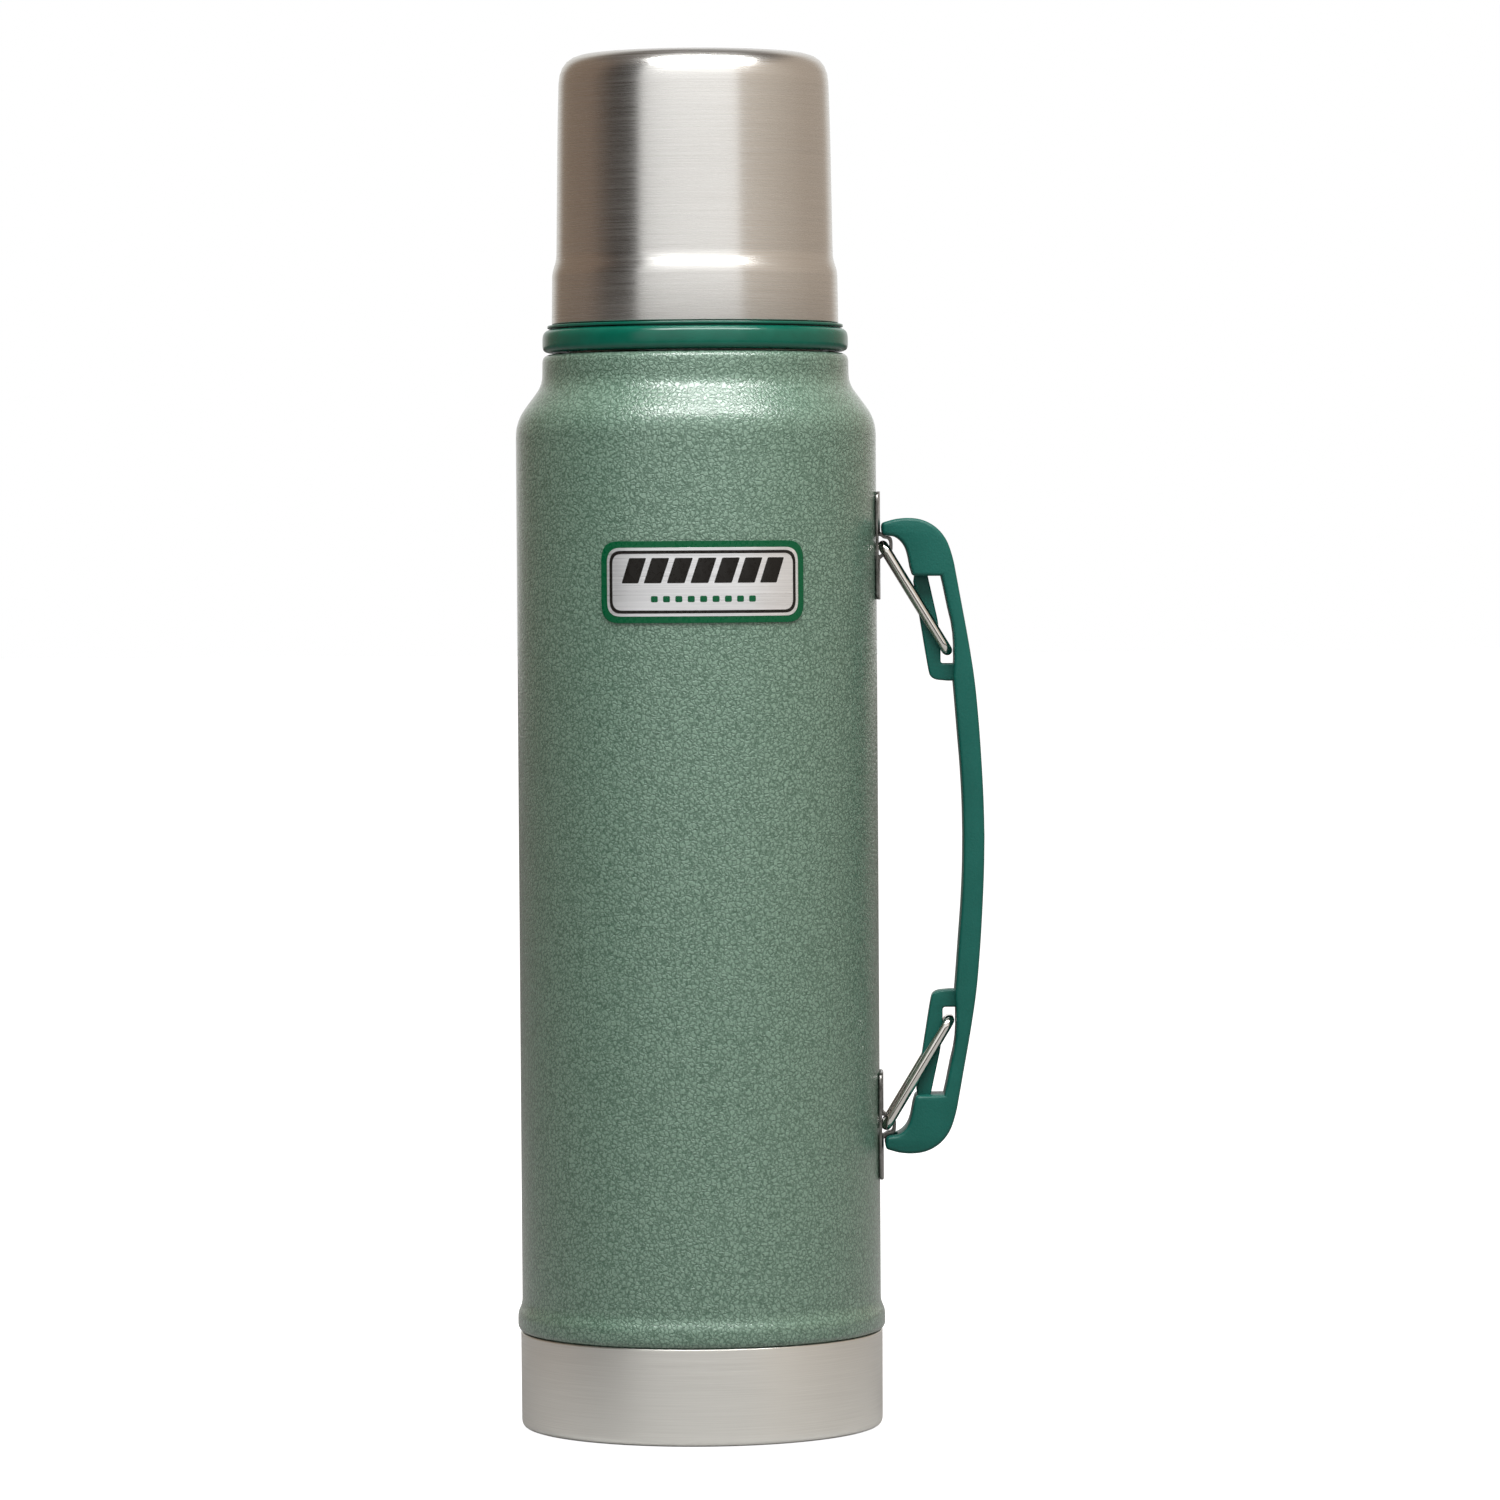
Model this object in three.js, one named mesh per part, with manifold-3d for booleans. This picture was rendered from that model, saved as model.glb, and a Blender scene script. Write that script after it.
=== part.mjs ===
// A one-litre vacuum flask with a drinking cup and a fold-out carry handle.
// Millimetres, +Z up. The origin is on the flask's axis, on the surface that it stands on,
// and +X points from the axis to the handle.

import * as THREE from "three";
import { mergeVertices } from "three/addons/utils/BufferGeometryUtils.js";
import Module from "manifold-3d";

const wasm = await Module();
wasm.setup();

// ---- driving dimensions ----

const FACETS = 32; // sides of every round piece
const GAP = 0.3; // between pieces that touch on the real flask

const BODY_R = 47.5;
const SHELL_WALL = 0.8;
const SKIRT_R = 46.8; // the shell's lower end, inside the base cup
const SEAM_Z = 25.7; // lower edge of the painted shell's bead
const BEAD_R = 48.63;
const SHOULDER_Z = 265.8; // where the body turns into the shoulder's cone
const COLLAR_R = 40.4;
const COLLAR_Z = 275.3; // where the cone turns into the collar
const SHELF_Z = 283.3; // top of the painted shell

const BASE_R = 47.9;
const BASE_WALL = 0.8;

const LINER_R = 37;
const LINER_WALL = 0.6;
const LINER_FOOT_Z = 17;
const LINER_SHOULDER_Z = 259.5;
const THROAT_Z = 274; // where the liner's cone turns into its throat
const THROAT_R = 28.5; // the liner's bore, where the plug seals
const NECK_BORE_R = 29.4; // inside the neck, between its threads
const NECK_R = 31.6; // outside of the neck, between its threads
const NECK_TOP_Z = 302.8;

const THREAD_PITCH = 5;
const THREAD_TURNS = 1.5;
const THREAD_DEPTH = 1.1;
const THREAD_ROUND = 1.4; // radius of the rounded thread's section
const THREAD_START_Z = 288.6;
const THREAD_CLEARANCE = 0.4; // between the crests of mating threads

const STOPPER_Z = 304.4; // underside of the stopper's flange
const PLUG_R = 27;
const PLUG_DEPTH = 36.4;
const PLUG_BORE_R = 23.6;
const SEAL_GROOVE_RISE = 8.6; // from the plug's lower end to its seal's groove
const SEAL_GROOVE_DEPTH = 1.8;
const SEAL_GROOVE_WIDTH = 3.6;
const PLUG_THREAD_R = 28.1; // crest of the plug's thread
const FLANGE_R = 31.8;

const CUP_Z = 283.7; // lower edge of the cup's rim ring
const CUP_HEIGHT = 78.3;
const CUP_WALL = 0.6;
const CUP_RIM_R = 37.8;
const CUP_LINER_WALL = 1.6;
const CUP_THREAD_ROOT_R = 34.2;

const HANDLE_MID_Z = 155.9;
const KNUCKLE_X = 49.15; // axis of a bail's inner bar
const KNUCKLE_RISE = 76.6; // from the handle's middle to that axis
const WIRE_D = 2.7;
const BAIL_LENGTH = 32.4; // between the axes of a bail's two bars
const BAIL_HALF_WIDTH = 5.2;
const BAIL_CORNER_R = 2.2;
const BAIL_REST = THREE.MathUtils.degToRad(31.2); // from the vertical, handle folded in
const BAIL_OUT = THREE.MathUtils.degToRad(60); // handle pulled out
const HANDLE_TRAVEL = 13;
const HANDLE_WIDTH = 16;
const ARM_WIDTH = 7;
const SLOT_WIDTH = 3.5;

const PLATE_R = 48.5; // outer face of a bracket's plate
const PLATE_HEIGHT = 28.5;
const PLATE_WIDTH = 16;

const BADGE_CENTRE_Z = 223.5;
const BADGE_WIDTH = 52.6; // across the chord
const BADGE_HEIGHT = 21.1;
const BADGE_CORNER_R = 4.9;
const BADGE_THICKNESS = 0.35;
const BADGE_TURN = THREE.MathUtils.degToRad(3); // from the front towards the handle

// ---- materials ----

function finish(color, roughness, metalness) {
  return new THREE.MeshStandardMaterial({ color, roughness, metalness });
}

const hammeredPaint = () => finish(0x6d8474, 0.35, 0.3);
const brushedSteel = () => finish(0xc4c0b8, 0.35, 1);
const innerSteel = () => finish(0xb8b9b6, 0.3, 1);
const wireSteel = () => finish(0xd2d2cf, 0.18, 1);
const bracketSteel = () => finish(0x8d8c88, 0.3, 1);
const greenPlastic = () => finish(0x184c3e, 0.25, 0);
const handlePlastic = () => finish(0x1e5c53, 0.4, 0);
const stopperPlastic = () => finish(0x20342e, 0.45, 0);
const sealRubber = () => finish(0xd9d5c8, 0.7, 0);
const foam = () => finish(0xe9e3cf, 0.95, 0);
const getterAlloy = () => finish(0x6b6a66, 0.5, 1);
const badgeFoil = () => finish(0xbcbfbe, 0.35, 0.8);

// ---- solids from three.js geometry ----

function toSolid(geometry) {
  const bare = geometry.clone();
  bare.deleteAttribute("normal");
  bare.deleteAttribute("uv");
  const merged = mergeVertices(bare, 1e-4);
  const corners = merged.index.array;
  const triVerts = [];
  for (let i = 0; i < corners.length; i += 3) {
    const [a, b, c] = corners.slice(i, i + 3);
    if (a !== b && b !== c && c !== a) triVerts.push(a, b, c);
  }
  const vertProperties = merged.attributes.position.array;
  const build = (list) =>
    new wasm.Manifold(new wasm.Mesh({ numProp: 3, vertProperties, triVerts: new Uint32Array(list) }));
  const solid = build(triVerts);
  return solid.volume() > 0 ? solid : build(triVerts.reverse());
}

function toGeometry(solid) {
  const { vertProperties, triVerts } = solid.getMesh();
  const geometry = new THREE.BufferGeometry();
  geometry.setAttribute("position", new THREE.BufferAttribute(new Float32Array(vertProperties), 3));
  geometry.setIndex(new THREE.BufferAttribute(new Uint32Array(triVerts), 1));
  geometry.computeVertexNormals();
  return geometry;
}

// Turns an outline of [radius, height] pairs round the Z axis. A third number makes a corner
// round: it says how far from the corner the bend starts.
// Seen with the radius to the right, the outline runs anticlockwise.
function revolve(outline, sides = FACETS) {
  const points = bent(outline).map(([r, z]) => new THREE.Vector2(r, z));
  const onAxis = outline[0][0] === 0;
  if (!onAxis) points.push(points[0].clone());
  return new THREE.LatheGeometry(points, sides).rotateX(Math.PI / 2);
}

function bent(outline, steps = 2) {
  return outline.flatMap(([r, z, reach], i) => {
    if (!reach) return [[r, z]];
    const corner = new THREE.Vector2(r, z);
    const neighbours = [outline.at(i - 1), outline[(i + 1) % outline.length]];
    const [start, end] = neighbours.map(([x, y]) => {
      const side = new THREE.Vector2(x, y).sub(corner);
      return side.setLength(Math.min(reach, side.length() / 2)).add(corner);
    });
    const bend = new THREE.QuadraticBezierCurve(start, corner, end);
    return bend.getPoints(steps).map(({ x, y }) => [x, y]);
  });
}

// A smooth run of points through a few given ones, in as many steps.
function flowing(points, steps) {
  const curve = new THREE.SplineCurve(points.map(([x, z]) => new THREE.Vector2(x, z)));
  return curve.getPoints(steps).map(({ x, y }) => [x, y]);
}

// A shape drawn in X and Z, thickened equally to both sides of the plane Y = 0.
function prismAcrossY(shape, width, curveSegments = 6) {
  const geometry = new THREE.ExtrudeGeometry(shape, { depth: width, bevelEnabled: false, curveSegments });
  return geometry.translate(0, 0, -width / 2).rotateX(Math.PI / 2);
}

// Round wire along a curve.
function wireAlong(curve, radius, sides, steps) {
  const section = new THREE.Shape();
  for (let i = 0; i <= sides; i++) {
    const angle = (2 * Math.PI * i) / sides;
    const [x, y] = [radius * Math.cos(angle), radius * Math.sin(angle)];
    if (i === 0) section.moveTo(x, y);
    else section.lineTo(x, y);
  }
  return new THREE.ExtrudeGeometry(section, { steps, bevelEnabled: false, extrudePath: curve });
}

class Helix extends THREE.Curve {
  constructor(radius, startZ) {
    super();
    this.radius = radius;
    this.startZ = startZ;
  }

  getPoint(t, target = new THREE.Vector3()) {
    const turn = 2 * Math.PI * THREAD_TURNS * t;
    const z = this.startZ + THREAD_PITCH * THREAD_TURNS * t;
    return target.set(this.radius * Math.cos(turn), this.radius * Math.sin(turn), z);
  }
}

// A rounded screw thread whose crest stands at crestR. side is 1 for a thread that
// points outwards and -1 for one that points inwards.
function thread(crestR, side, startZ) {
  const curve = new Helix(crestR - side * THREAD_ROUND, startZ);
  const sides = 6;
  return toSolid(wireAlong(curve, THREAD_ROUND, sides, Math.round(THREAD_TURNS * FACETS)));
}

// ---- the vessel ----

function outerShell() {
  const wall = SHELL_WALL;
  const mouth = 33.2;
  return revolve([
    [SKIRT_R - wall, 6],
    [SKIRT_R, 6],
    [SKIRT_R, SEAM_Z],
    [BASE_R, SEAM_Z],
    [BEAD_R, SEAM_Z + 1, 0.9],
    [BEAD_R, SEAM_Z + 4.6, 1.2],
    [BODY_R, SEAM_Z + 7],
    [BODY_R, SHOULDER_Z, 4.2],
    [COLLAR_R, COLLAR_Z, 2.6],
    [COLLAR_R, SHELF_Z, 2.3],
    [mouth, SHELF_Z],
    [mouth, SHELF_Z - wall],
    [COLLAR_R - wall, SHELF_Z - wall, 1],
    [COLLAR_R - wall, COLLAR_Z - 0.3, 2.4],
    [BODY_R - wall, SHOULDER_Z - 0.3, 4],
    [BODY_R - wall, SEAM_Z + 6],
    [SKIRT_R - wall, SEAM_Z + 4],
  ]);
}

function baseCup() {
  const inside = BASE_R - BASE_WALL;
  const top = SEAM_Z - GAP;
  return revolve([
    [0, 0],
    [BASE_R - 0.1, 0, 2],
    [BASE_R, top, 0.4],
    [inside, top],
    [inside, BASE_WALL, 1.6],
    [0, BASE_WALL],
  ]);
}

// The dished disc that closes the shell, with the hole that the air was pumped out through.
function outerBottom() {
  const rim = SKIRT_R - SHELL_WALL - GAP;
  const wall = 0.9;
  const hole = 1.2;
  return revolve([
    [hole, 9.2],
    [30, 8.2],
    [40, 6.2],
    [rim, 6, 0.7],
    [rim, 13],
    [rim - wall, 13],
    [rim - wall, 7],
    [30, 8.2 + wall],
    [hole, 9.2 + wall],
  ]);
}

function innerLiner() {
  const wall = LINER_WALL;
  return revolve([
    [LINER_R, LINER_FOOT_Z],
    [LINER_R + wall, LINER_FOOT_Z],
    [LINER_R + wall, LINER_SHOULDER_Z, 6],
    [THROAT_R + wall, THROAT_Z, 2.5],
    [THROAT_R + wall, SHELF_Z],
    [THROAT_R, SHELF_Z],
    [THROAT_R, THROAT_Z - 0.2, 2.5],
    [LINER_R, LINER_SHOULDER_Z - 0.3, 6],
  ]);
}

function linerBottom() {
  const rim = LINER_R - GAP;
  const wall = LINER_WALL;
  const middle = 13.4;
  const skirtTop = 23;
  return revolve([
    [0, middle],
    [28, middle + 1, 6],
    [rim, middle + 5, 2],
    [rim, skirtTop],
    [rim - wall, skirtTop],
    [rim - wall, middle + 5.3, 2],
    [28, middle + 1 + wall, 6],
    [0, middle + wall],
  ]);
}

// The ring of steel at the mouth, threaded outside for the cup and inside for the stopper.
function threadedNeck() {
  const foot = SHELF_Z + GAP;
  const ring = revolve([
    [NECK_BORE_R, foot],
    [33.2, foot],
    [33.2, foot + 0.8],
    [NECK_R, foot + 1.2],
    [NECK_R, NECK_TOP_Z - 0.6],
    [NECK_R - 0.6, NECK_TOP_Z],
    [NECK_BORE_R, NECK_TOP_Z],
  ]);
  return toGeometry(
    toSolid(ring)
      .add(thread(NECK_R + THREAD_DEPTH, 1, THREAD_START_Z))
      .add(thread(PLUG_THREAD_R + THREAD_CLEARANCE, -1, THREAD_START_Z)),
  );
}

// The bead that seals the hole in the closing disc, under it.
function vacuumSeal() {
  const bottom = 7.4;
  const top = 8.8;
  return revolve([[0, bottom], [4, bottom + 0.2, 2], [4, top], [0, top]], 16);
}

function getter() {
  const radius = 5;
  const height = 2.6;
  return new THREE.CylinderGeometry(radius, radius, height, 16).rotateX(Math.PI / 2);
}

// The foil badge: a rounded rectangle cut out of a thin ring round the body.
function badge() {
  const inner = BODY_R + GAP;
  const outer = inner + BADGE_THICKNESS;
  const [w, h, r] = [BADGE_WIDTH / 2, BADGE_HEIGHT / 2, BADGE_CORNER_R];
  const cutDepth = 30;
  const ring = revolve([[inner, -h - 1], [outer, -h - 1], [outer, h + 1], [inner, h + 1]]);
  const outline = new THREE.Shape()
    .moveTo(-w + r, -h)
    .lineTo(w - r, -h)
    .absarc(w - r, -h + r, r, -Math.PI / 2, 0)
    .absarc(w - r, h - r, r, 0, Math.PI / 2)
    .absarc(-w + r, h - r, r, Math.PI / 2, Math.PI)
    .absarc(-w + r, -h + r, r, Math.PI, 1.5 * Math.PI);
  const front = prismAcrossY(outline, cutDepth, 3).translate(0, -BODY_R, 0);
  return toGeometry(toSolid(ring).intersect(toSolid(front)));
}

// ---- the stopper, from the underside of its flange ----

function stopperBody() {
  const floor = -PLUG_DEPTH;
  const groove = floor + SEAL_GROOVE_RISE;
  const inside = floor + 2.2;
  const flangeTop = 3.2;
  const plug = revolve([
    [0, floor],
    [PLUG_R - 1.4, floor],
    [PLUG_R, floor + 1.4],
    [PLUG_R, groove],
    [PLUG_R - SEAL_GROOVE_DEPTH, groove],
    [PLUG_R - SEAL_GROOVE_DEPTH, groove + SEAL_GROOVE_WIDTH],
    [PLUG_R, groove + SEAL_GROOVE_WIDTH],
    [PLUG_R, 0],
    [FLANGE_R - 0.5, 0],
    [FLANGE_R, 0.5],
    [FLANGE_R, flangeTop],
    [PLUG_BORE_R, flangeTop],
    [PLUG_BORE_R, inside],
    [0, inside],
  ]);
  return toGeometry(toSolid(plug).add(thread(PLUG_THREAD_R, 1, THREAD_START_Z - STOPPER_Z)));
}

function stopperCore() {
  const radius = PLUG_BORE_R - GAP;
  const bottom = -PLUG_DEPTH + 2.5;
  const top = 2.9;
  return revolve([[0, bottom], [radius, bottom], [radius, top], [0, top]]);
}

// The knob that closes the stopper, with finger hollows round its side.
function stopperKnob() {
  const foot = 3.5;
  const top = 22;
  const knob = revolve([
    [0, foot],
    [FLANGE_R - 0.6, foot],
    [FLANGE_R - 0.2, foot + 0.9, 0.4],
    [FLANGE_R - 1.6, foot + 2.6, 0.8],
    [25.4, foot + 4, 1.2],
    [24, foot + 7],
    [23.2, top, 2.4],
    [0, top],
  ]);
  const hollows = 8;
  const hollowR = 5;
  const hollowLength = 20;
  const centreR = 27.4;
  let solid = toSolid(knob);
  for (let i = 0; i < hollows; i++) {
    const angle = (2 * Math.PI * (i + 0.5)) / hollows;
    const hollow = new THREE.CylinderGeometry(hollowR, hollowR, hollowLength, 10).rotateX(Math.PI / 2);
    hollow.translate(centreR * Math.cos(angle), centreR * Math.sin(angle), foot + 6 + hollowLength / 2);
    solid = solid.subtract(toSolid(hollow));
  }
  return toGeometry(solid);
}

function flangeGasket() {
  const [inner, outer] = [NECK_BORE_R - 0.2, NECK_R - 0.4];
  const [bottom, top] = [NECK_TOP_Z - STOPPER_Z + GAP, -GAP];
  return revolve([[inner, bottom], [outer, bottom], [outer, top], [inner, top]]);
}

function plugSeal() {
  const inner = PLUG_R - SEAL_GROOVE_DEPTH + GAP;
  const bottom = -PLUG_DEPTH + SEAL_GROOVE_RISE + GAP;
  const top = bottom + SEAL_GROOVE_WIDTH - 2 * GAP;
  return revolve([
    [inner, bottom],
    [PLUG_R + 0.6, bottom],
    [THROAT_R - GAP, (bottom + top) / 2],
    [PLUG_R + 0.6, top],
    [inner, top],
  ]);
}

// ---- the cup, from the lower edge of its rim ring ----

function cupShell() {
  const wall = CUP_WALL;
  const rim = 7.5;
  const top = CUP_HEIGHT;
  return revolve([
    [CUP_RIM_R - wall, rim],
    [CUP_RIM_R, rim],
    [37.6, 20.9, 2.2],
    [36.45, 24.7, 2.2],
    [35.9, 60.8, 10],
    [35.3, top, 7.6],
    [0, top],
    [0, top - wall],
    [34.7, top - wall, 7.2],
    [35.3, 60.7, 10],
    [35.9, 24.5, 2.2],
    [37, 20.7, 2.2],
  ]);
}

// The cup's plastic lining: a thin lip under the steel's edge, and a thread near its mouth.
function cupLiner() {
  const mouth = 0.4;
  const lip = 6.4;
  const lipR = 39;
  const lipHeight = 0.8;
  const skirt = CUP_RIM_R - CUP_WALL - 2 * GAP;
  const bore = CUP_THREAD_ROOT_R;
  const top = CUP_HEIGHT - CUP_WALL - 2 * GAP;
  const inside = top - CUP_LINER_WALL;
  const threadStart = 4;
  const lining = revolve([
    [bore, mouth],
    [skirt, mouth],
    [skirt, lip],
    [lipR, lip],
    [lipR, lip + lipHeight],
    [36.8, lip + lipHeight],
    [36.7, 20.4, 2],
    [35.5, 24.4, 2],
    [34.5, 70.1, 4],
    [32.8, top, 7],
    [0, top],
    [0, inside],
    [31.8, inside, 6],
    [33, 68.1, 4],
    [34, 22.4],
    [bore, 18.4],
  ]);
  const crestR = NECK_R + THREAD_DEPTH + THREAD_CLEARANCE;
  return toGeometry(toSolid(lining).add(thread(crestR, -1, threadStart)));
}

function cupRing() {
  const bore = CUP_RIM_R - CUP_WALL - GAP;
  const height = 6.1;
  return revolve([
    [bore, 0],
    [38.9, 0, 0.8],
    [40.3, 0.7, 1.4],
    [40.3, 5, 1.8],
    [38.9, height, 0.7],
    [bore, height],
  ]);
}

// ---- the carry handle ----

// A bracket about its bail's axis: a curved plate with a window, and a strap across
// the window that holds the bail's bar. X is measured from the flask's axis.
function bracket() {
  const half = PLATE_HEIGHT / 2;
  const inner = BODY_R + GAP;
  const windowHeight = 6;
  const windowWidth = 13.8;
  const cutDepth = 20;
  const strapHeight = 6.3;
  const strapWidth = 6;
  const strapOuter = 51.7;
  const strapWall = 0.9;
  const strapCorner = 1.4;
  const ring = revolve([[inner, -half], [PLATE_R, -half], [PLATE_R, half], [inner, half]]);
  const [w, h, r] = [PLATE_WIDTH / 2, half, 3];
  const outline = new THREE.Shape()
    .moveTo(-w + r, -h)
    .absarc(w - r, -h + r, r, -Math.PI / 2, 0)
    .absarc(w - r, h - r, r, 0, Math.PI / 2)
    .absarc(-w + r, h - r, r, Math.PI / 2, Math.PI)
    .absarc(-w + r, -h + r, r, Math.PI, 1.5 * Math.PI);
  const side = prismAcrossY(outline, cutDepth, 3).rotateZ(Math.PI / 2).translate(BODY_R, 0, 0);
  const window = new THREE.BoxGeometry(cutDepth, windowWidth, windowHeight).translate(BODY_R, 0, 0);
  const arch = (x, z) =>
    new THREE.Shape()
      .moveTo(PLATE_R - 0.5, -z)
      .lineTo(x - strapCorner, -z)
      .lineTo(x, -z + strapCorner)
      .lineTo(x, z - strapCorner)
      .lineTo(x - strapCorner, z)
      .lineTo(PLATE_R - 0.5, z);
  const strap = toSolid(prismAcrossY(arch(strapOuter, strapHeight / 2), strapWidth)).subtract(
    toSolid(prismAcrossY(arch(strapOuter - strapWall, strapHeight / 2 - strapWall), strapWidth + 2)),
  );
  return toGeometry(toSolid(ring).intersect(toSolid(side)).subtract(toSolid(window)).add(strap));
}

// A bail hanging straight down from the axis of its inner bar: one wire bent into a long
// loop, whose ends meet with a small gap in the middle of that bar.
function bail() {
  const [w, r, end] = [BAIL_HALF_WIDTH, BAIL_CORNER_R, 0.2];
  const point = (y, z) => new THREE.Vector3(0, y, z);
  const path = new THREE.CurvePath();
  const line = (a, b) => path.add(new THREE.LineCurve3(point(...a), point(...b)));
  const bend = (a, b, c) =>
    path.add(new THREE.QuadraticBezierCurve3(point(...a), point(...b), point(...c)));
  const far = -BAIL_LENGTH;
  const [sides, steps] = [8, 48];
  line([end, 0], [w - r, 0]);
  bend([w - r, 0], [w, 0], [w, -r]);
  line([w, -r], [w, far + r]);
  bend([w, far + r], [w, far], [w - r, far]);
  line([w - r, far], [-w + r, far]);
  bend([-w + r, far], [-w, far], [-w, far + r]);
  line([-w, far + r], [-w, -r]);
  bend([-w, -r], [-w, 0], [-w + r, 0]);
  line([-w + r, 0], [-end, 0]);
  return toGeometry(toSolid(wireAlong(path, WIRE_D / 2, sides, steps)));
}

// Where a bail's outer bar sits in the handle's slot once the handle has moved out.
function barInSlot(travel) {
  const swing = BAIL_REST + ((BAIL_OUT - BAIL_REST) * travel) / HANDLE_TRAVEL;
  const x = KNUCKLE_X + BAIL_LENGTH * Math.sin(swing) - travel;
  return [x, KNUCKLE_RISE - BAIL_LENGTH * Math.cos(swing)];
}

// The handle about its middle, drawn in X and Z: a bowed grip between two hooked blocks.
// Each block has a slot for a bail's bar, behind a narrow arm that the bail straddles.
function handle() {
  const outside = flowing(
    [[75.4, 0], [74, 30.6], [71.4, 51.7], [68.4, 68.4], [65.2, 78.8], [59.7, 83.1], [49.9, 83]],
    18,
  );
  const hook = flowing([[50.2, 79.1], [53.4, 78.1], [55.6, 74.6], [57.2, 67], [60.6, 45.6]], 8);
  const gripInside = flowing([[67.4, 40.8], [69.3, 18], [69.9, 0]], 4);
  const upperHalf = bent([...outside, [48.7, 81.6], [49.1, 79.6], ...hook, [61.6, 41.2, 3], ...gripInside]);
  const mirrored = upperHalf.slice(1, -1).map(([x, z]) => [x, -z]);
  const loop = [...upperHalf, ...mirrored.reverse()];
  const outline = new THREE.Shape(loop.map(([x, z]) => new THREE.Vector2(x, -z)));
  let solid = toSolid(prismAcrossY(outline, HANDLE_WIDTH));

  const half = SLOT_WIDTH / 2;
  const stops = 5;
  const middle = [];
  for (let i = 0; i < stops; i++) middle.push(barInSlot((HANDLE_TRAVEL * i) / (stops - 1)));
  const blockFoot = 68.5;
  const armFoot = 43.6;
  const path = [[66.2, 45.5], [66.2, 47], ...middle, [62.9, 67.4], [62.7, blockFoot]];
  const rightSide = path.map(([x, z]) => [x + half, z]);
  const leftSide = path.map(([x, z]) => [x - half, z]).reverse();
  const besideArm = [[50, blockFoot], [50, armFoot], [67.9, armFoot]];
  for (const side of [1, -1]) {
    const shapeOf = (points) => new THREE.Shape(points.map(([x, z]) => new THREE.Vector2(x, -side * z)));
    const slot = prismAcrossY(shapeOf([...rightSide, ...leftSide]), HANDLE_WIDTH + 2);
    solid = solid.subtract(toSolid(slot));
    for (const face of [1, -1]) {
      const depth = (HANDLE_WIDTH - ARM_WIDTH) / 2 + 1;
      const recess = prismAcrossY(shapeOf([...rightSide, ...besideArm]), depth);
      recess.translate(0, (face * (ARM_WIDTH + depth)) / 2, 0);
      solid = solid.subtract(toSolid(recess));
    }
    const [pocketDepth, pocketWidth, pocketHeight] = [7.3, 7, 10.2];
    const pocket = new THREE.BoxGeometry(pocketDepth, pocketWidth, pocketHeight);
    pocket.translate(KNUCKLE_X - 0.5, 0, KNUCKLE_RISE - 1.5);
    if (side < 0) pocket.rotateX(Math.PI);
    solid = solid.subtract(toSolid(pocket));
  }
  return toGeometry(solid);
}

// ---- assembly ----

const flask = new THREE.Group();

function group(x, y, z) {
  const made = new THREE.Group();
  made.position.set(x, y, z);
  flask.add(made);
  return made;
}

function place(parent, name, geometry, material) {
  const mesh = new THREE.Mesh(geometry, material);
  mesh.name = name;
  parent.add(mesh);
  return mesh;
}

const vessel = group(0, 0, 0);
place(vessel, "outer_shell", outerShell(), hammeredPaint());
place(vessel, "base_cup", baseCup(), brushedSteel());
place(vessel, "outer_bottom", outerBottom(), innerSteel());
place(vessel, "vacuum_seal", vacuumSeal(), getterAlloy());
place(vessel, "getter", getter(), getterAlloy()).position.set(22, 0, 11.2); // on the closing disc
place(vessel, "inner_liner", innerLiner(), innerSteel());
place(vessel, "liner_bottom", linerBottom(), innerSteel());
place(vessel, "threaded_neck", threadedNeck(), innerSteel());
const badgeMesh = place(vessel, "badge", badge(), badgeFoil());
badgeMesh.position.z = BADGE_CENTRE_Z;
badgeMesh.rotation.z = BADGE_TURN;

const stopper = group(0, 0, STOPPER_Z);
place(stopper, "stopper_body", stopperBody(), stopperPlastic());
place(stopper, "stopper_core", stopperCore(), foam());
place(stopper, "stopper_knob", stopperKnob(), stopperPlastic());
place(stopper, "flange_gasket", flangeGasket(), sealRubber());
place(stopper, "plug_seal", plugSeal(), sealRubber());

const cup = group(0, 0, CUP_Z);
place(cup, "cup_shell", cupShell(), brushedSteel());
place(cup, "cup_liner", cupLiner(), greenPlastic());
place(cup, "cup_ring", cupRing(), greenPlastic());

const carrier = group(0, 0, HANDLE_MID_Z);
place(carrier, "handle", handle(), handlePlastic());
for (const [end, side] of [["upper", 1], ["lower", -1]]) {
  const bracketMesh = place(carrier, end + "_bracket", bracket(), bracketSteel());
  bracketMesh.position.z = side * KNUCKLE_RISE;
  const bailMesh = place(carrier, end + "_bail", bail(), wireSteel());
  bailMesh.position.set(KNUCKLE_X, 0, side * KNUCKLE_RISE);
  bailMesh.rotation.y = side > 0 ? -BAIL_REST : Math.PI + BAIL_REST;
}

export default flask;
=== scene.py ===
import math

import bmesh
import bpy
from mathutils import Matrix, Vector


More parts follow.
